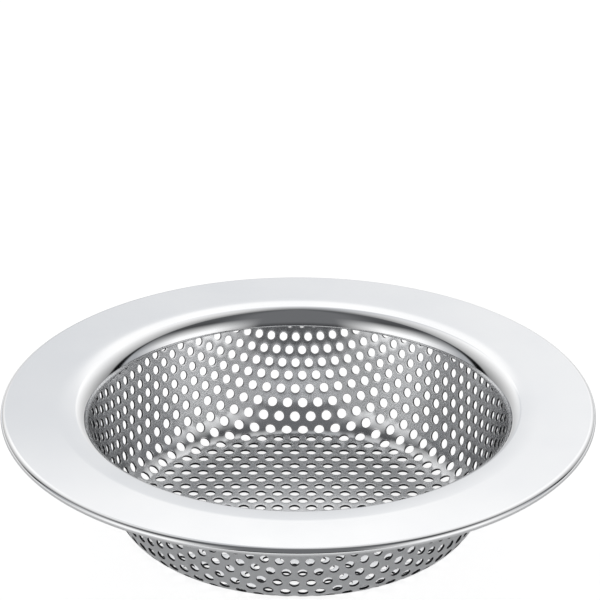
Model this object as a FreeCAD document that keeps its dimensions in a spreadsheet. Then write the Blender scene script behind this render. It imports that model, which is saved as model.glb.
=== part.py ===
# Sink strainer: a wide pressed rim and a perforated basket drawn from sheet, lapped together at
# the rim's collar. Millimetres, +Z up, origin under the middle of the basket's floor.
import FreeCAD
import Part
import Sketcher
import math
import os

Vector = FreeCAD.Vector

# Every size of the strainer: alias, value, what it measures.
SIZES = [
    ("rim_diameter", 114.0, "outside of the flange, over its hem"),
    ("rim_height", 24.3, "top of the flange above the underside of the basket"),
    ("rim_sheet", 0.5, "thickness of the rim's sheet"),
    ("hem_radius", 0.8, "outside bend radius where the flange turns down into its hem"),
    ("hem_chords", 3, "straight chords that the hem's bend is drawn with"),
    ("hem_skirt", 0.75, "straight part of the hem below that bend"),
    ("shoulder_radius", 3.4, "bend from the flange down into the collar, on the upper face"),
    ("shoulder_chords", 4, "straight chords that the shoulder's bend is drawn with"),
    ("collar_length", 1.0, "straight collar below the shoulder, lapped inside the basket"),
    ("flange_reach", 17.1, "level distance from the hem's outside to the free edge of the collar"),
    ("mouth_diameter", "=rim_diameter - 2 * flange_reach", "clear opening at that free edge"),
    ("wall_tilt", 16.5, "degrees that the wall and the collar lean out from the vertical"),
    ("seam_gap", 0.1, "clearance between the collar and the wall that it lies against"),
    ("basket_sheet", 0.5, "thickness of the basket's sheet"),
    ("corner_radius", 4.0, "inside radius between the floor and the wall"),
    ("corner_chords", 3, "straight chords that the corner's bend is drawn with"),
    ("wall_flats", 48, "flats that the round wall is drawn with, so that holes have straight edges"),
    ("hole_pitch", 6.1, "spacing of the staggered holes in the sheet before it is drawn"),
    ("hole_width", 3.5, "holes across their flats"),
    ("hole_margin", 0.6, "plain sheet left between the top holes and the collar's free edge"),
]
HOLE_SIDES = 6

doc = FreeCAD.newDocument("sink_strainer")
sheet = doc.addObject("Spreadsheet::Sheet", "Sizes")
for line, (alias, value, meaning) in enumerate(SIZES, start=1):
    sheet.set(f"A{line}", meaning)
    sheet.set(f"B{line}", str(value))
    sheet.setAlias(f"B{line}", alias)
doc.recompute()


def size(alias):
    return float(sheet.get(alias))


def count(alias):
    return int(round(size(alias)))


# Rim

def origin_feature(body, role):
    return next(item for item in body.Origin.OriginFeatures if item.Role == role)


START, END, MIDDLE = range(1, 4)
ORIGIN = (-1, START)
LEVEL_AXIS = -1


class Section:
    """A half section being drawn in a sketch: lines, bends of equal chords, rules and measures."""

    def __init__(self, sketch):
        self.sketch = sketch

    def line(self, start, end):
        return self.sketch.addGeometry(Part.LineSegment(start, end))

    def rule(self, kind, *places):
        return self.sketch.addConstraint(Sketcher.Constraint(kind, *places))

    def measure(self, name, expression, kind, *places):
        number = self.rule(kind, *places)
        self.sketch.renameConstraint(number, name)
        self.sketch.setExpression(f"Constraints.{name}", expression)

    def bend(self, centre, radius, start, end, chords):
        """A guiding arc, from one angle in degrees to another, and the equal chords that follow it."""
        angles = [math.radians(start + (end - start) * step / chords) for step in range(chords + 1)]
        circle = Part.Circle(centre, Vector(0, 0, 1), radius)
        guide = self.sketch.addGeometry(Part.ArcOfCircle(circle, angles[0], angles[-1]), True)
        points = [centre + Vector(math.cos(angle), math.sin(angle), 0) * radius for angle in angles]
        pieces = [self.line(first, second) for first, second in zip(points, points[1:])]
        self.rule("Coincident", pieces[0], START, guide, START)
        self.rule("Coincident", pieces[-1], END, guide, END)
        for before, after in zip(pieces, pieces[1:]):
            self.rule("Coincident", before, END, after, START)
            self.rule("PointOnObject", before, END, guide)
            self.rule("Equal", before, after)
        return guide


def draw_rim_section(sketch):
    """Half section of the rim: radius along X, height along Y, with the flange's top at zero."""
    draw = Section(sketch)
    outside = size("rim_diameter") / 2
    thick = size("rim_sheet")
    bend = size("hem_radius")
    foot = -bend - size("hem_skirt")
    fold = outside - 2 * thick
    shoulder = size("shoulder_radius")
    tilt = size("wall_tilt")
    rise = Vector(math.sin(math.radians(tilt)), math.cos(math.radians(tilt)), 0)
    across = Vector(rise.y, -rise.x, 0)
    seam = Vector(size("mouth_diameter") / 2, -collar_depth(), 0)
    neck = seam + rise * size("collar_length")
    centre = neck + across * shoulder
    hem = Vector(outside - bend, -bend, 0)

    collar_in = draw.line(seam, neck)
    shoulder_top = draw.bend(centre, shoulder, 90, 180 - tilt, count("shoulder_chords"))
    flange_top = draw.line(Vector(centre.x, 0, 0), Vector(hem.x, 0, 0))
    hem_bend = draw.bend(hem, bend, 0, 90, count("hem_chords"))
    hem_out = draw.line(Vector(outside, -bend, 0), Vector(outside, foot, 0))
    hem_foot = draw.line(Vector(outside, foot, 0), Vector(fold, foot, 0))
    hem_in = draw.line(Vector(fold, foot, 0), Vector(fold, -thick, 0))
    flange_under = draw.line(Vector(fold, -thick, 0), Vector(centre.x, -thick, 0))
    shoulder_under = draw.bend(centre, shoulder - thick, 90, 180 - tilt, count("shoulder_chords"))
    collar_out = draw.line(neck + across * thick, seam + across * thick)
    collar_edge = draw.line(seam + across * thick, seam)

    draw.rule("Tangent", collar_in, END, shoulder_top, END)
    draw.rule("Tangent", shoulder_top, START, flange_top, START)
    draw.rule("Tangent", flange_top, END, hem_bend, END)
    draw.rule("Tangent", hem_bend, START, hem_out, START)
    draw.rule("Coincident", hem_out, END, hem_foot, START)
    draw.rule("Coincident", hem_foot, END, hem_in, START)
    draw.rule("Coincident", hem_in, END, flange_under, START)
    draw.rule("Tangent", flange_under, END, shoulder_under, START)
    draw.rule("Tangent", shoulder_under, END, collar_out, START)
    draw.rule("Coincident", collar_out, END, collar_edge, START)
    draw.rule("Coincident", collar_edge, END, collar_in, START)
    draw.rule("Coincident", shoulder_top, MIDDLE, shoulder_under, MIDDLE)
    draw.rule("Perpendicular", collar_edge, collar_in)
    draw.rule("PointOnObject", flange_top, START, LEVEL_AXIS)
    draw.rule("Horizontal", flange_top)
    draw.rule("Horizontal", hem_foot)
    draw.rule("Vertical", hem_in)

    draw.measure("outside", "Sizes.rim_diameter / 2", "DistanceX", *ORIGIN, hem_foot, START, outside)
    draw.measure("mouth", "Sizes.mouth_diameter / 2", "DistanceX", *ORIGIN, collar_in, START, seam.x)
    draw.measure("sheet", "Sizes.rim_sheet", "DistanceY", flange_under, END, flange_top, START, thick)
    draw.measure("fold", "2 * Sizes.rim_sheet", "DistanceX", hem_foot, END, hem_foot, START, 2 * thick)
    draw.measure("skirt", "Sizes.hem_skirt", "DistanceY", hem_out, END, hem_out, START, -foot - bend)
    draw.measure("bend", "Sizes.hem_radius", "Radius", hem_bend, bend)
    draw.measure("shoulder", "Sizes.shoulder_radius", "Radius", shoulder_top, shoulder)
    draw.measure("collar", "Sizes.collar_length", "Distance", collar_in, size("collar_length"))
    draw.measure("lean", "90 deg - Sizes.wall_tilt * 1 deg", "Angle", collar_in, math.radians(90 - tilt))


def make_rim():
    body = doc.addObject("PartDesign::Body", "rim")
    section = body.newObject("Sketcher::SketchObject", "rim_section")
    section.AttachmentSupport = [(origin_feature(body, "XZ_Plane"), "")]
    section.MapMode = "FlatFace"
    draw_rim_section(section)
    doc.recompute()
    turned = body.newObject("PartDesign::Revolution", "rim_turned")
    turned.Profile = section
    turned.ReferenceAxis = (section, ["V_Axis"])
    turned.Angle = 360
    body.Tip = turned
    body.setExpression("Placement.Base.z", "Sizes.rim_height")
    return body


# Basket

def collar_depth():
    """Depth of the collar's free edge under the flange's top."""
    tilt = math.radians(size("wall_tilt"))
    turned = size("shoulder_radius") * (1 - math.sin(tilt))
    return turned + size("collar_length") * math.cos(tilt)


class CupForm:
    """Section of the drawn cup: flat floor, rounded corner and a wall that leans out to the lap."""

    def __init__(self):
        self.tilt = math.radians(size("wall_tilt"))
        self.sheet = size("basket_sheet")
        self.inside = size("corner_radius")
        self.outside = self.inside + self.sheet
        self.middle = self.inside + self.sheet / 2
        self.turn = math.pi / 2 - self.tilt
        self.seam = size("rim_height") - collar_depth()
        self.top = self.seam + size("collar_length") * math.cos(self.tilt)
        lap = size("mouth_diameter") / 2 + (size("rim_sheet") + size("seam_gap")) / math.cos(self.tilt)
        wall_at_corner = lap - (self.seam - self.outside) * math.tan(self.tilt)
        self.floor = wall_at_corner - self.inside / math.cos(self.tilt)

    def corner(self, radius, turn):
        """Radius and height of a point of the corner's arc, after it has turned that far."""
        return self.floor + radius * math.sin(turn), self.outside - radius * math.cos(turn)

    def skin(self, radius):
        """Section points of the inner or outer face, from the floor's edge up to the top edge."""
        chords = count("corner_chords")
        points = [self.corner(radius, self.turn * step / chords) for step in range(chords + 1)]
        reach, height = points[-1]
        points.append((reach + (self.top - height) * math.tan(self.tilt), self.top))
        return points

    def drawn(self, flat):
        """Where a point this far from the middle of the flat sheet ends up: radius, height, lean."""
        if flat <= self.floor:
            return flat, self.sheet / 2, math.pi / 2
        past = flat - self.floor
        if past <= self.middle * self.turn:
            turn = past / self.middle
            return *self.corner(self.middle, turn), math.pi / 2 - turn
        up_wall = past - self.middle * self.turn
        reach, height = self.corner(self.middle, self.turn)
        return reach + up_wall * math.sin(self.tilt), height + up_wall * math.cos(self.tilt), self.tilt

    def reach(self, height):
        """Distance along the flat sheet that ends up at this height on the wall."""
        start = self.corner(self.middle, self.turn)[1]
        return self.floor + self.middle * self.turn + (height - start) / math.cos(self.tilt)


def flats_ring(radius, height):
    """Corners of a level ring of flats, each flat as far from the axis as the radius."""
    flats = count("wall_flats")
    step = 2 * math.pi / flats
    corner = radius / math.cos(step / 2)
    angles = [(number + 0.5) * step for number in range(flats)]
    return [Vector(corner * math.cos(angle), corner * math.sin(angle), height) for angle in angles]


def panels(lower, upper):
    """Flat panels between two rings."""
    following = list(range(1, len(lower))) + [0]
    corners = [(lower[i], lower[j], upper[j], upper[i], lower[i]) for i, j in enumerate(following)]
    return [Part.Face(Part.makePolygon(list(panel))) for panel in corners]


def make_blank(form):
    """The drawn cup before it has its holes."""
    skins = []
    for radius in (form.outside, form.inside):
        skins.append([flats_ring(*point) for point in form.skin(radius)])
    faces = []
    for rings in skins:
        floor = rings[0]
        faces.append(Part.Face(Part.makePolygon(floor + floor[:1])))
        for lower, upper in zip(rings, rings[1:]):
            faces.extend(panels(lower, upper))
    faces.extend(panels(skins[0][-1], skins[1][-1]))
    blank = doc.addObject("Part::Feature", "basket_blank")
    blank.Shape = Part.makeSolid(Part.makeShell(faces))
    return blank


def lattice(pitch, reach):
    """Staggered hole centres of the flat sheet, in rows along X, out to a distance from the middle."""
    spacing = pitch * math.sqrt(3) / 2
    rows = int(reach / spacing) + 1
    columns = int(reach / pitch) + 1
    for row in range(-rows, rows + 1):
        for column in range(-columns, columns + 1):
            x = (column + 0.5 * (row % 2)) * pitch
            y = row * spacing
            if math.hypot(x, y) <= reach:
                yield x, y


def punch(form, x, y):
    """One hole's prism, square to the drawn sheet at the place that the hole has moved to."""
    azimuth = math.atan2(y, x)
    radius, height, lean = form.drawn(math.hypot(x, y))
    outward = Vector(math.cos(azimuth), math.sin(azimuth), 0)
    round_axis = Vector(-outward.y, outward.x, 0)
    up_sheet = outward * math.sin(lean) + Vector(0, 0, math.cos(lean))
    through = Vector(0, 0, math.sin(lean)) - outward * math.cos(lean)
    depth = 3 * form.sheet
    base = outward * radius + Vector(0, 0, height) - through * (depth / 2)
    corner = size("hole_width") / 2 / math.cos(math.pi / HOLE_SIDES)
    outline = []
    for number in range(HOLE_SIDES):
        angle = (number + 0.5) * 2 * math.pi / HOLE_SIDES - azimuth
        outline.append(base + (up_sheet * math.cos(angle) + round_axis * math.sin(angle)) * corner)
    return Part.Face(Part.makePolygon(outline + outline[:1])).extrude(through * depth)


def make_basket():
    form = CupForm()
    top_hole = form.seam - size("hole_margin") - size("hole_width") / 2 * math.cos(form.tilt)
    holes = list(lattice(size("hole_pitch"), form.reach(top_hole)))
    punches = doc.addObject("Part::Feature", "basket_punches")
    punches.Shape = Part.makeCompound([punch(form, x, y) for x, y in holes])
    basket = doc.addObject("Part::Cut", "basket")
    basket.Base = make_blank(form)
    basket.Tool = punches
    basket.Refine = False
    print(f"basket: {len(holes)} holes, floor flat to {2 * form.floor:.1f} mm across")
    return basket


# Check and write

def write(pieces):
    doc.recompute()
    for item in doc.Objects:
        if "Invalid" in item.State or "Error" in item.State:
            raise RuntimeError(f"{item.Label} failed: {item.State}")
    for piece in pieces:
        shape = piece.Shape
        if shape.isNull() or not shape.isValid() or len(shape.Solids) != 1:
            raise RuntimeError(f"{piece.Label} is not one sound solid")
    os.makedirs("parts", exist_ok=True)
    for piece in pieces:
        piece.Shape.exportStep(os.path.join("parts", f"{piece.Label}.step"))
        box = piece.Shape.BoundBox
        print(f"{piece.Label}: {piece.Shape.Volume:.1f} mm3, z {box.ZMin:.2f} to {box.ZMax:.2f}, "
              f"{box.XLength:.2f} mm across")


write([make_rim(), make_basket()])
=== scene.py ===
import bisect
import bpy
import bmesh
import math
from mathutils import Matrix, Vector


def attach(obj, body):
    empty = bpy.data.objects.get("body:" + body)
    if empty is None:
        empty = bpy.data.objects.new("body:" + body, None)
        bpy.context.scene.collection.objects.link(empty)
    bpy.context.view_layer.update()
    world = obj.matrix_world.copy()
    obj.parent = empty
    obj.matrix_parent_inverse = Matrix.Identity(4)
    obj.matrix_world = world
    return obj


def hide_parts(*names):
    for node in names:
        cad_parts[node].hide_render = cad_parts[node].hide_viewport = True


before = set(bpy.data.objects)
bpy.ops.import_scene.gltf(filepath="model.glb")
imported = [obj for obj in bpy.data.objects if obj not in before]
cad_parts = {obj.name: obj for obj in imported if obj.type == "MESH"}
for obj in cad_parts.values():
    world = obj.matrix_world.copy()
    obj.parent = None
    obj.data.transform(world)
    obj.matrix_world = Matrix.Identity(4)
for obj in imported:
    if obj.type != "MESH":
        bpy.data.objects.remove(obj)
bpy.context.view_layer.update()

mm = 0.001
up = Vector((0, 0, 1))
quarterTurn = math.pi / 2
samePlace = 1e-6                    # mm, closer than this is one point
noiseLow, noiseHigh = 0.3, 0.7      # nearly all of a noise texture lies between these
white = "#FFFFFF"


def linearColour(hexCode):
    # sRGB hex value to linear
    steps = [int(hexCode[i:i + 2], 16) / 255 for i in (1, 3, 5)]
    return [s / 12.92 if s <= 0.04045 else ((s + 0.055) / 1.055) ** 2.4 for s in steps] + [1.0]


def addNode(tree, kind, settings={}, sockets={}, links={}):
    # a shader node with its settings, the values of its sockets and what is linked to them
    node = tree.nodes.new("ShaderNode" + kind)
    for name, value in settings.items():
        setattr(node, name, value)
    for key, value in sockets.items():
        node.inputs[key].default_value = value
    for key, source in links.items():
        tree.links.new(source, node.inputs[key])
    return node


def newMaterial(name):
    material = bpy.data.materials.new(name)
    material.use_nodes = True
    material.node_tree.nodes.clear()
    return material, material.node_tree


def meshPiece(name, points, faces, normals, material):
    mesh = bpy.data.meshes.new(name)
    mesh.from_pydata(points, [], faces)
    mesh.polygons.foreach_set("use_smooth", [True] * len(mesh.polygons))
    mesh.normals_split_custom_set_from_vertices(normals)
    mesh.materials.append(material)
    piece = bpy.data.objects.new(name, mesh)
    bpy.context.scene.collection.objects.link(piece)
    return piece


# sizes that the rim and the basket share where they lap, in mm
lap = {
    "flangeTop": 24.3,
    "mouthRadius": 39.9,    # free edge of the collar
    "seamHeight": 20.9,     # and its height
    "dishStart": 46.5,      # the flange dips slightly from here
    "slopes": [math.radians(a) for a in (4, 25, 80)],   # after the dip, the tight bend and the collar
    "bendRadius": 1.4,
    "gap": 0.1,
    "sheet": 0.5,
}


def lapArcs():
    # the flange's dip, the tight bend and the collar's curve down to the free edge, as (radius, centre):
    # the collar takes the height that the other two leave
    dip, turned, steep = lap["slopes"]
    bend, top, start = lap["bendRadius"], lap["flangeTop"], lap["dishStart"]
    edge = (lap["mouthRadius"], lap["seamHeight"])
    near = edge[0] + bend * (math.sin(turned) - math.sin(dip))
    fall = math.tan(dip / 2)
    across, down = math.sin(steep) - math.sin(turned), math.cos(turned) - math.cos(steep)
    left = top - edge[1] - bend * (math.cos(dip) - math.cos(turned)) - (start - near) * fall
    collar = left / (down - across * fall)
    bendStart = near + collar * across
    dish = (start - bendStart) / math.sin(dip)
    bendHeight = top - (start - bendStart) * fall
    return ((dish, (start, top - dish)),
            (bend, (bendStart + bend * math.sin(dip), bendHeight - bend * math.cos(dip))),
            (collar, (edge[0] + collar * math.sin(steep), edge[1] - collar * math.cos(steep))))


# mirror-polished stainless steel, pressed and then buffed on a wheel:
# a clean bright reflection with faint rings left by the wheel
polish = {
    "light": "#F4F4F4",
    "shade": "#E9EAEC",
    "roughness": (0.055, 0.085),
    "ringSpacing": 0.3,     # real buffing lines are about 0.02 mm, drawn coarser so that they show
    "ringDepth": 0.02,      # mm
    "ringBump": 0.04,
    "cloudSize": 14.0,      # wiping marks, mm
    "cloudShare": 0.5,      # of the roughness, and the rings give the rest
}


def polishedSteel():
    material, tree = newMaterial("polishedStainlessSteel")
    place = addNode(tree, "TexCoord").outputs["Object"]
    level = addNode(tree, "VectorMath", {"operation": "MULTIPLY"}, {1: (1, 1, 0)}, {0: place})
    radius = addNode(tree, "VectorMath", {"operation": "LENGTH"}, {}, {0: level.outputs[0]})
    across = addNode(tree, "Math", {"operation": "MULTIPLY"}, {1: 1 / (polish["ringSpacing"] * mm)},
                     {0: radius.outputs["Value"]})
    rings = addNode(tree, "TexNoise", {"noise_dimensions": "1D"},
                    {"Scale": 1.0, "Detail": 3.0}, {"W": across.outputs[0]})
    clouds = addNode(tree, "TexNoise", {},
                     {"Scale": 1 / (polish["cloudSize"] * mm), "Detail": 3.0}, {"Vector": place})
    marks = addNode(tree, "Mix", {"data_type": "FLOAT"}, {"Factor": polish["cloudShare"]},
                    {2: rings.outputs[0], 3: clouds.outputs[0]})
    low, high = polish["roughness"]
    rough = addNode(tree, "MapRange", {}, {1: noiseLow, 2: noiseHigh, 3: low, 4: high},
                    {0: marks.outputs[0]})
    tint = addNode(tree, "Mix", {"data_type": "RGBA"},
                   {6: linearColour(polish["light"]), 7: linearColour(polish["shade"])},
                   {0: clouds.outputs[0]})
    bump = addNode(tree, "Bump", {},
                   {"Strength": polish["ringBump"], "Distance": polish["ringDepth"] * mm},
                   {"Height": rings.outputs[0]})
    shader = addNode(tree, "BsdfPrincipled", {}, {"Metallic": 1.0},
                     {"Base Color": tint.outputs[2], "Roughness": rough.outputs[0],
                      "Normal": bump.outputs[0]})
    addNode(tree, "OutputMaterial", {}, {}, {"Surface": shader.outputs[0]})
    return material


rim = {
    "outerRadius": 56.98,
    "hemBend": 1.0,         # flange turning down at the outer edge
    "hemDepth": 1.55,
    "hemFold": 0.5,         # the hem is folded double, so its foot is round
    "hemFillet": 0.2,
    "edgeRound": 0.22,      # free edge of the collar
    "around": 288,
    "stepDegrees": 6,       # of a bend
    "leastSteps": 6,
    "flangeSteps": 4,
}


def rimSection():
    # half section of the sheet as (radius, height, normal angle), from the free edge of the collar over
    # the flange to the hem and back along the underside
    section = []
    top, sheet = lap["flangeTop"], lap["sheet"]

    def bend(size, centre, start, end, hollow=False):
        count = max(rim["leastSteps"], math.ceil(abs(end - start) / math.radians(rim["stepDegrees"])))
        for i in range(count + 1):
            a = start + (end - start) * i / count
            place = (centre[0] + size * math.cos(a), centre[1] + size * math.sin(a))
            if not section or math.dist(place, section[-1][:2]) > samePlace:    # arcs meet in one point
                section.append((*place, a + math.pi if hollow else a))

    arcs = lapArcs()
    slopes = [quarterTurn] + [quarterTurn + slope for slope in lap["slopes"]]
    steep, facingIn = lap["slopes"][-1], slopes[-1]
    edge = rim["edgeRound"]
    slopes[-1] -= edge / arcs[-1][0]
    seam = (lap["mouthRadius"], lap["seamHeight"])
    upSheet = (math.cos(steep), math.sin(steep))
    outSheet = (math.sin(steep), -math.cos(steep))
    # free edge, then the collar, the tight bend and the dip up to the flange
    bend(edge, [seam[i] + (upSheet[i] + outSheet[i]) * edge for i in (0, 1)],
         facingIn + quarterTurn, facingIn)
    for i in (2, 1, 0):
        bend(*arcs[i], slopes[i + 1], slopes[i])
    # flange, hem bend and folded foot
    outer, hem, fold = rim["outerRadius"], rim["hemBend"], rim["hemFold"]
    for i in range(1, rim["flangeSteps"]):
        share = i / rim["flangeSteps"]
        section.append((lap["dishStart"] + (outer - hem - lap["dishStart"]) * share, top, quarterTurn))
    bend(hem, (outer - hem, top - hem), quarterTurn, 0)
    bend(fold, (outer - fold, top - rim["hemDepth"] + fold), 0, -math.pi)
    # inside of the hem, underside of the flange and back down the underside of the collar
    fillet = rim["hemFillet"]
    bend(fillet, (outer - 2 * fold - fillet, top - sheet - fillet), 0, quarterTurn, hollow=True)
    for i in (0, 1, 2):
        size, centre = arcs[i]
        bend(size - sheet, centre, slopes[i], slopes[i + 1], hollow=True)
    bend(edge, [seam[i] + upSheet[i] * edge + outSheet[i] * (sheet - edge) for i in (0, 1)],
         facingIn + math.pi, facingIn + quarterTurn)
    return section


def buildRim(material):
    section = rimSection()
    points, normals, faces = [], [], []
    count = len(section)
    for i in range(rim["around"]):
        angle = 2 * math.pi * i / rim["around"]
        out = Vector((math.cos(angle), math.sin(angle), 0))
        for radius, height, facing in section:
            points.append((out * radius + up * height) * mm)
            normals.append(out * math.cos(facing) + up * math.sin(facing))
    for i in range(rim["around"]):
        here, there = i * count, (i + 1) % rim["around"] * count
        for j in range(count):
            k = (j + 1) % count
            faces.append((here + j, here + k, there + k, there + j))
    return meshPiece("rimPolished", points, faces, normals, material)


# stainless sheet, cold rolled to a satin finish, punched flat and then drawn to a cup: soft grey
# reflections with fine rolling grain, bright rolled-in hole edges and rough sheared hole walls with painted
# shade
satin = {
    "light": "#EBECED",
    "shade": "#DEDFE1",
    "burnished": "#F2F2F2",
    # painted shade: near black on the holes' sheared walls, standing in for the shade inside the holes
    "paintedShadeInHoles": "#343437",
    "roughness": (0.13, 0.19),          # the wall, which the die has ironed
    "floorRoughness": (0.24, 0.31),     # the floor, which keeps its rolled finish
    "drawnFrom": (27, 33),              # mm from the middle of the flat sheet, from floor to wall finish
    "burnishedRoughness": 0.14,
    "shearedRoughness": 0.5,
    "rolledEdge": (0.1, 0.45),          # holeEdge is 0 on the sheet, 0.5 on a hole's rolled-in edge
    "shearedWallAndPaintedShade": (0.6, 0.8),          # and 1 on its sheared wall
    "haze": 0.12,                       # share of a wider, softer reflection from the rolled texture
    "hazeRoughness": 0.4,
    "grainWidth": 0.12,                 # rolling grain is about 0.03 mm, drawn coarser so that it shows
    "grainLength": 4.0,
    "grainDepth": 0.02,                 # mm
    "grainBump": 0.05,
    "cloudSize": 9.0,                   # mm
    "cloudShare": 0.4,                  # of roughness and tint, and the grain gives the rest
}


def perforatedSteel():
    material, tree = newMaterial("satinPerforatedStainlessSteel")
    flat = addNode(tree, "Attribute", {"attribute_name": "flatSheet"}).outputs["Vector"]
    edge = addNode(tree, "Attribute", {"attribute_name": "holeEdge"}).outputs["Fac"]
    along = addNode(tree, "VectorMath", {"operation": "MULTIPLY"},
                    {1: (1 / satin["grainLength"], 1 / satin["grainWidth"], 0)}, {0: flat})
    grain = addNode(tree, "TexNoise", {"noise_dimensions": "2D"},
                    {"Scale": 1.0, "Detail": 2.0}, {"Vector": along.outputs[0]})
    clouds = addNode(tree, "TexNoise", {"noise_dimensions": "2D"},
                     {"Scale": 1 / satin["cloudSize"], "Detail": 3.0}, {"Vector": flat})
    marks = addNode(tree, "Mix", {"data_type": "FLOAT"}, {"Factor": satin["cloudShare"]},
                    {2: grain.outputs[0], 3: clouds.outputs[0]}).outputs[0]
    finishes = []
    for finish in ("floorRoughness", "roughness"):
        low, high = satin[finish]
        finishes.append(addNode(tree, "MapRange", {}, {1: noiseLow, 2: noiseHigh, 3: low, 4: high},
                                {0: marks}).outputs[0])
    reach = addNode(tree, "SeparateXYZ", {}, {}, {0: flat}).outputs[2]
    low, high = satin["drawnFrom"]
    drawn = addNode(tree, "MapRange", {}, {1: low, 2: high}, {0: reach}).outputs[0]
    rough = addNode(tree, "Mix", {"data_type": "FLOAT"}, {},
                    {0: drawn, 2: finishes[0], 3: finishes[1]}).outputs[0]
    tint = addNode(tree, "Mix", {"data_type": "RGBA"},
                   {6: linearColour(satin["light"]), 7: linearColour(satin["shade"])},
                   {0: marks}).outputs[2]
    # rolled-in edges and sheared walls of the holes; the walls are painted near black, a painted shade for
    # the dark inside the holes
    for span, colour, roughness in (("rolledEdge", "burnished", "burnishedRoughness"),
                                    ("shearedWallAndPaintedShade", "paintedShadeInHoles", "shearedRoughness")):
        low, high = satin[span]
        share = addNode(tree, "MapRange", {}, {1: low, 2: high}, {0: edge}).outputs[0]
        tint = addNode(tree, "Mix", {"data_type": "RGBA"}, {7: linearColour(satin[colour])},
                       {0: share, 6: tint}).outputs[2]
        rough = addNode(tree, "Mix", {"data_type": "FLOAT"}, {3: satin[roughness]},
                        {0: share, 2: rough}).outputs[0]
    bump = addNode(tree, "Bump", {},
                   {"Strength": satin["grainBump"], "Distance": satin["grainDepth"] * mm},
                   {"Height": grain.outputs[0]})
    sharp = addNode(tree, "BsdfPrincipled", {}, {"Metallic": 1.0},
                    {"Base Color": tint, "Roughness": rough, "Normal": bump.outputs[0]})
    haze = addNode(tree, "BsdfPrincipled", {}, {"Metallic": 1.0, "Roughness": satin["hazeRoughness"]},
                   {"Base Color": tint})
    shader = addNode(tree, "MixShader", {}, {0: satin["haze"]},
                     {1: sharp.outputs[0], 2: haze.outputs[0]})
    addNode(tree, "OutputMaterial", {}, {}, {"Surface": shader.outputs[0]})
    return material


# in mm; the holes are punched in the flat sheet, so they are placed on that
basket = {
    "wallLean": math.radians(16.5),
    "cornerLength": 13.0,
    "cornerEase": 3,                # the drawn corner is tightest at the floor and eases into the wall
    "lipSlope": math.radians(40),   # the top edge follows the collar's curve to this slope
    "wallStretch": (0.88, 0.97),    # mm of wall for each mm of the flat sheet, at its foot and its top
    "walkStep": 0.1,
    "holePitch": 3.313,
    "holeRadius": 1.02,
    "rowPlace": 21.6,               # one row of holes lies this far behind the axis
    "holePlace": 0.96,              # and has a hole this far right of it
    "holeMargin": 0.2,              # least plain sheet between a hole and the top edge
    "cellMargin": 0.08,             # and between its cell and the top edge
    "dimple": 0.3,                  # the punch draws the sheet in round a hole, this far out
    "burrEdge": 0.05,               # die side of a hole
    # rings into a hole: share of the dimple, depth, holeEdge and degrees that the normal leans in
    "holeRings": ((1.0, 0.004, 0.0, 1.5), (0.5, 0.012, 0.1, 5), (0.2, 0.026, 0.45, 14),
                  (0.06, 0.05, 0.5, 45), (0.0, 0.1, 1.0, 90)),
    "pointsPerSide": 3,             # of a six-sided cell round a hole
    "topEdgePoints": 240,
}


def outward(x, y):
    # distance from the axis and the level direction away from it
    flat = math.hypot(x, y)
    return flat, (Vector((x / flat, y / flat, 0)) if flat > samePlace else Vector((1, 0, 0)))


class CupSheet:
    # the flat sheet bent to floor, corner, wall and lip: its middle is walked outwards in small steps
    def __init__(self):
        self.half = lap["sheet"] / 2
        steep, slope = quarterTurn - basket["wallLean"], basket["lipSlope"]
        low, high = basket["wallStretch"]
        collar, centre = lapArcs()[2]
        lip = collar - lap["sheet"] - lap["gap"] - self.half
        wallEnd = (centre[0] - math.sin(steep) * lip, centre[1] + math.cos(steep) * lip)
        # distance along the flat sheet, across, up, turn and stretch at each step from the floor's edge
        self.walk = [(0.0, 0.0, self.half, 0.0, 1.0)]
        self.bend(basket["cornerLength"], lambda t: steep * (1 - (1 - t) ** basket["cornerEase"]),
                  lambda t: 1.0)
        wall = (wallEnd[1] - self.walk[-1][2]) / math.sin(steep)
        self.bend(wall, lambda t: steep, lambda t: low + (high - low) * t)
        self.floor = wallEnd[0] - self.walk[-1][1]
        self.bend(lip * (steep - slope), lambda t: steep + (slope - steep) * t, lambda t: high)
        self.flats = [self.floor + step[0] for step in self.walk]
        self.top = self.flats[-1]

    def bend(self, length, turnAt, stretchAt):
        count = math.ceil(length / basket["walkStep"])
        step = length / count
        for i in range(count):
            flat, across, rise = self.walk[-1][:3]
            middle, stretch = turnAt((i + 0.5) / count), stretchAt((i + 0.5) / count)
            self.walk.append((flat + step / stretch, across + step * math.cos(middle),
                              rise + step * math.sin(middle), turnAt((i + 1) / count), stretch))

    def section(self, flat):
        # radius, height, turn and stretch of the middle of the sheet
        if flat <= self.floor:
            return flat, self.half, 0.0, 1.0
        i = min(bisect.bisect_right(self.flats, flat), len(self.flats) - 1)
        share = (flat - self.flats[i - 1]) / (self.flats[i] - self.flats[i - 1])
        across, rise, turn, stretch = [a + (b - a) * share
                                       for a, b in zip(self.walk[i - 1][1:], self.walk[i][1:])]
        return self.floor + across, rise, turn, stretch

    def place(self, x, y):
        # middle of the sheet and the normal of its inner face
        flat, out = outward(x, y)
        radius, height, turn = self.section(flat)[:3]
        return out * radius + up * height, up * math.cos(turn) - out * math.sin(turn)


def holeCentres(cup):
    # in staggered rows along X on the flat sheet
    pitch = basket["holePitch"]
    spacing = pitch * math.sqrt(3) / 2
    reach = cup.top - basket["holeRadius"] / basket["wallStretch"][1] - basket["holeMargin"]
    rows = int(2 * cup.top / spacing) + 2       # more than enough to cross the sheet
    for row in range(-rows, rows + 1):
        y = basket["rowPlace"] + row * spacing
        shift = basket["holePlace"] + (row % 2) * pitch / 2
        for column in range(-rows, rows + 1):
            x = shift + column * pitch
            if math.hypot(x, y) <= reach:
                yield x, y


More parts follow.
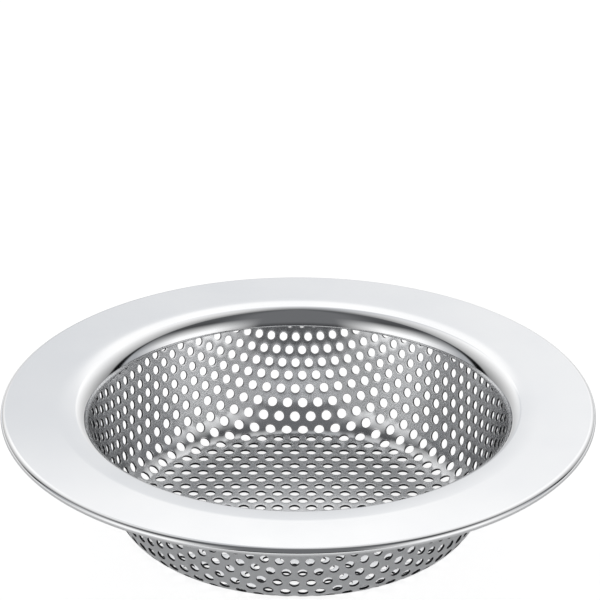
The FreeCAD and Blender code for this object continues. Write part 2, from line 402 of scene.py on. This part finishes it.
class BasketMesh:
    # a six-sided cell of sheet round each hole, and plain sheet from there to the top edge
    def __init__(self):
        self.cup = CupSheet()
        self.points, self.normals, self.holeEdges, self.flats, self.faces = [], [], [], [], []
        self.shared = {}        # points of the cell borders on both faces, and where they are
        self.sides = {}         # sides of the cells, and the cells that have them
        self.cellCorner = basket["holePitch"] / math.sqrt(3)
        corners = [(self.cellCorner * math.cos(a), self.cellCorner * math.sin(a))
                   for a in (math.radians(30 + 60 * i) for i in range(6))]
        shares = [j / basket["pointsPerSide"] for j in range(basket["pointsPerSide"])]
        self.border = [(ax + (bx - ax) * t, ay + (by - ay) * t)
                       for (ax, ay), (bx, by) in zip(corners, corners[1:] + corners[:1]) for t in shares]
        turns = [math.atan2(y, x) for x, y in self.border]
        self.spokes = [Vector((math.cos(a), math.sin(a), 0)) for a in turns]
        # radius, depth, holeEdge and lean of the normal for each ring of a hole, inner face first
        hole, burr, sheet = basket["holeRadius"], basket["burrEdge"], lap["sheet"]
        self.rings = [(hole + share * basket["dimple"], depth, edge, math.radians(lean))
                      for share, depth, edge, lean in basket["holeRings"]]
        self.rings += [(hole, sheet - burr, 1.0, quarterTurn), (hole + burr, sheet, 0.0, 0.0)]

    def addPoint(self, x, y, depth, edge=0.0, axis=None, lean=0.0):
        # depth is under the inner face, and lean turns the normal from the face towards a hole's axis
        middle, inward = self.cup.place(x, y)
        facing = inward if depth < self.cup.half else -inward
        if axis is not None:
            side = axis - middle
            side = (side - inward * side.dot(inward)).normalized()
            facing = (facing * math.cos(lean) + side * math.sin(lean)).normalized()
        self.points.append((middle + inward * (self.cup.half - depth)) * mm)
        self.normals.append(facing)
        self.holeEdges.append(edge)
        self.flats.append((x, y, math.hypot(x, y)))
        return len(self.points) - 1

    def addThrough(self, x, y):
        return self.addPoint(x, y, 0.0), self.addPoint(x, y, lap["sheet"])

    def borderPoint(self, x, y):
        # known by its whole lattice steps, and pulled in where it would pass the top edge
        steps = 2 * basket["pointsPerSide"]
        key = (round((x - basket["holePlace"]) * steps / basket["holePitch"]),
               round((y - basket["rowPlace"]) * steps / self.cellCorner))
        if key not in self.shared:
            flat, limit = math.hypot(x, y), self.cup.top - basket["cellMargin"]
            if flat > limit:
                x, y = x * limit / flat, y * limit / flat
            self.shared[key] = (*self.addThrough(x, y), x, y)
        return key

    def addCell(self, cx, cy):
        keys = [self.borderPoint(cx + x, cy + y) for x, y in self.border]
        for pair in zip(keys, keys[1:] + keys[:1]):
            if pair[0] != pair[1]:
                self.sides.setdefault(frozenset(pair), []).append(pair)
        flat, out = outward(cx, cy)
        section = self.cup.section(flat)
        radius, stretch = section[0], section[-1]
        # drawing narrows a hole round the wall, and it stays nearly as round as it was punched
        roundness = math.sqrt(radius / flat) / stretch if flat > samePlace else 1.0
        axis = self.cup.place(cx, cy)[0]
        loops = [[self.shared[key][0] for key in keys]]
        for size, depth, edge, lean in self.rings:
            loop = []
            for spoke in self.spokes:
                step = spoke * size
                step += out * step.dot(out) * (roundness - 1)
                loop.append(self.addPoint(cx + step.x, cy + step.y, depth, edge, axis, lean))
            loops.append(loop)
        loops.append([self.shared[key][1] for key in keys])
        for before, after in zip(loops, loops[1:]):
            for i in range(len(keys)):
                j = (i + 1) % len(keys)
                face = tuple(dict.fromkeys((before[i], before[j], after[j], after[i])))
                if len(face) > 2:       # a side on the top edge's limit may have shrunk to a point
                    self.faces.append(face)

    def addTop(self):
        # sides that only one cell has are joined to the top edge
        fill = bmesh.new()
        cornerOf, pointsOf = {}, {}
        for pairs in self.sides.values():
            if len(pairs) > 1:
                continue
            for key in pairs[0]:
                if key not in cornerOf:
                    inner, outer, x, y = self.shared[key]
                    cornerOf[key] = fill.verts.new((x, y, 0))
                    pointsOf[cornerOf[key]] = (inner, outer)
            fill.edges.new([cornerOf[key] for key in pairs[0]])
        top = []
        for i in range(basket["topEdgePoints"]):
            a = 2 * math.pi * i / basket["topEdgePoints"]
            x, y = self.cup.top * math.cos(a), self.cup.top * math.sin(a)
            top.append(fill.verts.new((x, y, 0)))
            pointsOf[top[-1]] = self.addThrough(x, y)
        topSides = list(zip(top, top[1:] + top[:1]))
        for side in topSides:
            fill.edges.new(side)
        bmesh.ops.triangle_fill(fill, use_beauty=True, use_dissolve=False, edges=fill.edges[:], normal=up)
        for face in fill.faces:
            inner, outer = zip(*[pointsOf[vert] for vert in face.verts])
            if face.normal.z < 0:
                inner, outer = inner[::-1], outer[::-1]
            self.faces += [inner, outer[::-1]]
        # cut edge of the sheet
        for here, there in topSides:
            (hereIn, hereOut), (thereIn, thereOut) = pointsOf[here], pointsOf[there]
            self.faces.append((hereOut, thereOut, thereIn, hereIn))
        fill.free()


def buildBasket(material):
    cupMesh = BasketMesh()
    centres = list(holeCentres(cupMesh.cup))
    for x, y in centres:
        cupMesh.addCell(x, y)
    print(f"basket: {len(centres)} holes")
    cupMesh.addTop()
    piece = meshPiece("basketPerforated", cupMesh.points, cupMesh.faces, cupMesh.normals, material)
    flatSheet = piece.data.attributes.new("flatSheet", "FLOAT_VECTOR", "POINT")
    flatSheet.data.foreach_set("vector", [value for flat in cupMesh.flats for value in flat])
    holeEdge = piece.data.attributes.new("holeEdge", "FLOAT", "POINT")
    holeEdge.data.foreach_set("value", cupMesh.holeEdges)
    return piece


rimPiece = buildRim(polishedSteel())
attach(rimPiece, "root")
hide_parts("rim")
print("rim built:", len(rimPiece.data.polygons), "faces")

basketPiece = buildBasket(perforatedSteel())
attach(basketPiece, "root")
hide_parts("basket")
print("basket built:", len(basketPiece.data.polygons), "faces")


# matt white paper, rolled out as a floor: white to the eye, and it still takes a soft shadow
studioFloor = {
    "colour": "#F4F4F4",
    "seenColour": "#B3B3B3",        # its paint where it is seen, so that glow and paint together look white
    "size": 3.0,                    # m
    "drop": 0.15,                   # mm under the basket
    "glow": 0.85,
    "mirrorShare": (0.12, 0.85),    # of that glow that the steel mirrors, near and far
    "paintedShadowReach": (90, 240),       # mm from the axis; nearer, the mirrored glow fades, a painted shadow of the strainer
}


def buildFloor():
    material, tree = newMaterial("mattWhitePaper")
    path = addNode(tree, "LightPath").outputs
    mirrored = addNode(tree, "Math", {"operation": "MAXIMUM"}, {},
                       {0: path["Is Glossy Ray"], 1: path["Is Transmission Ray"]})
    place = addNode(tree, "TexCoord").outputs["Object"]
    away = addNode(tree, "VectorMath", {"operation": "LENGTH"}, {}, {0: place})
    # painted shadow: in the steel's reflections the floor's glow fades towards the strainer
    (low, high), (near, far) = studioFloor["paintedShadowReach"], studioFloor["mirrorShare"]
    share = addNode(tree, "MapRange", {}, {1: low * mm, 2: high * mm, 3: near, 4: far},
                    {0: away.outputs["Value"]})
    seen = addNode(tree, "Math", {"operation": "MULTIPLY_ADD"}, {},
                   {0: mirrored.outputs[0], 1: share.outputs[0], 2: path["Is Camera Ray"]}).outputs[0]
    strength = addNode(tree, "Math", {"operation": "MULTIPLY"}, {1: studioFloor["glow"]}, {0: seen})
    tint = addNode(tree, "Mix", {"data_type": "RGBA"},
                   {6: linearColour(studioFloor["colour"]), 7: linearColour(studioFloor["seenColour"])},
                   {0: seen})
    paint = addNode(tree, "BsdfDiffuse", {}, {}, {"Color": tint.outputs[2]})
    glow = addNode(tree, "Emission", {}, {"Color": linearColour(white)},
                   {"Strength": strength.outputs[0]})
    shader = addNode(tree, "AddShader", {}, {}, {0: paint.outputs[0], 1: glow.outputs[0]})
    addNode(tree, "OutputMaterial", {}, {}, {"Surface": shader.outputs[0]})
    half, drop = studioFloor["size"] / 2, -studioFloor["drop"] * mm
    corners = [(-half, -half, drop), (half, -half, drop), (half, half, drop), (-half, half, drop)]
    floor = meshPiece("studioFloor", corners, [(0, 1, 2, 3)], [up] * len(corners), material)


# soft studio: a white sweep behind that runs up overhead, a white card at each side, a plain grey wall
# behind the camera and a dim room between them
studio = {
    "strength": 1.15,
    "room": "#0C0D0E",
    "ceiling": "#58595B",
    "wall": "#6A6B6D",
    "card": "#FFFFFF",
    "cardEnd": "#A4A6A9",       # the cards turn away from the strainer and look greyer at their far ends
    "middle": "#D7D9DC",        # greyer middle of the sweep, more so to the left
    "middlePlace": -0.1,
    "middleWidth": 0.3,
    "cardLean": 0.35,           # the far edge of a card leans, by this much turn for each degree of rise
    "sweepLean": 0.55,          # and so does the edge of the sweep
    # what a light changes along, from and to where, its share at each, and how it changes:
    # turn is degrees round from the camera, and rise is degrees up
    "spans": {
        "ceiling": ("rise", (12, 72), (0, 1), "LINEAR"),
        "wallSide": ("turn", (35, 60), (1, 0), "LINEAR"),
        "wallFoot": ("rise", (0, 22), (0.15, 1), "LINEAR"),
        "cardSide": ("turn", (21, 47), (0, 1), "LINEAR"),
        "cardTop": ("rise", (16, 49), (1, 0), "LINEAR"),
        "cardEdge": ("cardLean", (107, 112), (1, 0), "SMOOTHSTEP"),
        "cardEnd": ("turn", (70, 98), (0, 1), "LINEAR"),
        "sweepEdge": ("sweepLean", (119.5, 124.5), (0, 1), "SMOOTHSTEP"),
        "sweepSide": ("sweepLean", (121, 172), (0.36, 1), "LINEAR"),
        "sweepFoot": ("rise", (0, 28), (0.66, 1), "LINEAR"),
        "sweepHigh": ("rise", (44, 74), (1, 0.66), "LINEAR"),
        "sweepOverhead": ("rise", (74, 90), (1, 0.15), "LINEAR"),
        "bandFoot": ("rise", (27.3, 29.7), (0, 1), "SMOOTHSTEP"),   # clean white band across the middle
        "bandTop": ("rise", (37, 46), (1, 0), "SMOOTHSTEP"),
    },
    # lights that several spans shape together
    "shaped": {
        "wall": ("wallSide", "wallFoot"),
        "card": ("cardSide", "cardTop", "cardEdge"),
        "sweep": ("sweepSide", "sweepFoot", "sweepHigh", "sweepOverhead"),
        "band": ("bandFoot", "bandTop"),
    },
}


def buildStudio():
    world = bpy.data.worlds.new("softStudio")
    bpy.context.scene.world = world
    world.use_nodes = True
    tree = world.node_tree
    tree.nodes.clear()
    multiply, multiplyAdd = {"operation": "MULTIPLY"}, {"operation": "MULTIPLY_ADD"}
    absolute, degrees = {"operation": "ABSOLUTE"}, {"operation": "DEGREES"}
    rgba = {"data_type": "RGBA"}
    paint = {name: linearColour(studio[name])
             for name in ("room", "ceiling", "wall", "card", "cardEnd", "middle")}

    # where a ray goes
    direction = addNode(tree, "TexCoord").outputs["Generated"]
    part = addNode(tree, "SeparateXYZ", {}, {}, {0: direction}).outputs
    front = addNode(tree, "Math", multiply, {1: -1.0}, {0: part[1]}).outputs[0]
    turn = addNode(tree, "Math", {"operation": "ARCTAN2"}, {}, {0: part[0], 1: front}).outputs[0]
    turn = addNode(tree, "Math", absolute, {}, {0: turn}).outputs[0]
    turn = addNode(tree, "Math", degrees, {}, {0: turn}).outputs[0]
    rise = addNode(tree, "Math", {"operation": "ARCSINE"}, {}, {0: part[2]}).outputs[0]
    rise = addNode(tree, "Math", degrees, {}, {0: rise}).outputs[0]
    along = {"turn": turn, "rise": rise}
    for lean in ("cardLean", "sweepLean"):
        along[lean] = addNode(tree, "Math", multiplyAdd, {1: studio[lean]}, {0: rise, 2: turn}).outputs[0]

    # how much of each light is there
    share = {}
    for name, (way, (low, high), (start, end), blend) in studio["spans"].items():
        share[name] = addNode(tree, "MapRange", {"interpolation_type": blend},
                              {1: low, 2: high, 3: start, 4: end}, {0: along[way]}).outputs[0]
    for name, (first, *others) in studio["shaped"].items():
        share[name] = share[first]
        for other in others:
            share[name] = addNode(tree, "Math", multiply, {}, {0: share[name], 1: share[other]}).outputs[0]

    # dim room with a grey ceiling, then the wall behind the camera and the cards
    seen = addNode(tree, "Mix", rgba, {6: paint["room"], 7: paint["ceiling"]},
                   {0: share["ceiling"]}).outputs[2]
    seen = addNode(tree, "Mix", rgba, {7: paint["wall"]}, {0: share["wall"], 6: seen}).outputs[2]
    card = addNode(tree, "Mix", rgba, {6: paint["card"], 7: paint["cardEnd"]},
                   {0: share["cardEnd"]}).outputs[2]
    seen = addNode(tree, "Mix", rgba, {}, {0: share["card"], 6: seen, 7: card}).outputs[2]

    # sweep, with its greyer middle and the band across that
    side = addNode(tree, "Math", {"operation": "SUBTRACT"}, {1: studio["middlePlace"]},
                   {0: part[0]}).outputs[0]
    side = addNode(tree, "Math", absolute, {}, {0: side}).outputs[0]
    side = addNode(tree, "MapRange", {}, {1: 0.0, 2: studio["middleWidth"]}, {0: side}).outputs[0]
    clean = addNode(tree, "Math", {"operation": "MAXIMUM"}, {}, {0: side, 1: share["band"]}).outputs[0]
    sweep = addNode(tree, "Mix", rgba, {6: paint["middle"], 7: linearColour(white)},
                    {0: clean}).outputs[2]
    sweep = addNode(tree, "VectorMath", {"operation": "SCALE"}, {},
                    {0: sweep, "Scale": share["sweep"]}).outputs[0]
    seen = addNode(tree, "Mix", rgba, {}, {0: share["sweepEdge"], 6: seen, 7: sweep}).outputs[2]

    light = addNode(tree, "Background", {}, {"Strength": studio["strength"]}, {"Color": seen})
    backdrop = addNode(tree, "Background", {}, {"Color": linearColour(white), "Strength": 1.0})
    path = addNode(tree, "LightPath").outputs
    shown = addNode(tree, "MixShader", {}, {},
                    {0: path["Is Camera Ray"], 1: light.outputs[0], 2: backdrop.outputs[0]})
    addNode(tree, "OutputWorld", {}, {}, {"Surface": shown.outputs[0]})


photoCamera = {
    "place": (0.0, -0.5876, 0.3279),
    "down": 25.6246,        # degrees that it looks down, turns right and rolls
    "right": 0.0252,
    "roll": 0.1219,
    "lens": 206.83,
    "sensor": 36,
    "nearest": 0.01,        # m that it can see
}


def buildCamera():
    data = bpy.data.cameras.new("photoCamera")
    data.sensor_width = photoCamera["sensor"]
    data.lens = photoCamera["lens"]
    data.clip_start = photoCamera["nearest"]
    camera = bpy.data.objects.new("photoCamera", data)
    turn = Matrix.Rotation(math.radians(90 - photoCamera["down"]), 4, "X")
    turn = turn @ Matrix.Rotation(math.radians(-photoCamera["right"]), 4, "Y")
    turn = turn @ Matrix.Rotation(math.radians(photoCamera["roll"]), 4, "Z")
    camera.matrix_world = Matrix.Translation(photoCamera["place"]) @ turn
    bpy.context.scene.collection.objects.link(camera)
    bpy.context.scene.camera = camera


buildFloor()
buildStudio()
buildCamera()
bpy.context.scene.view_settings.view_transform = "Standard"
print("floor, studio and camera set")
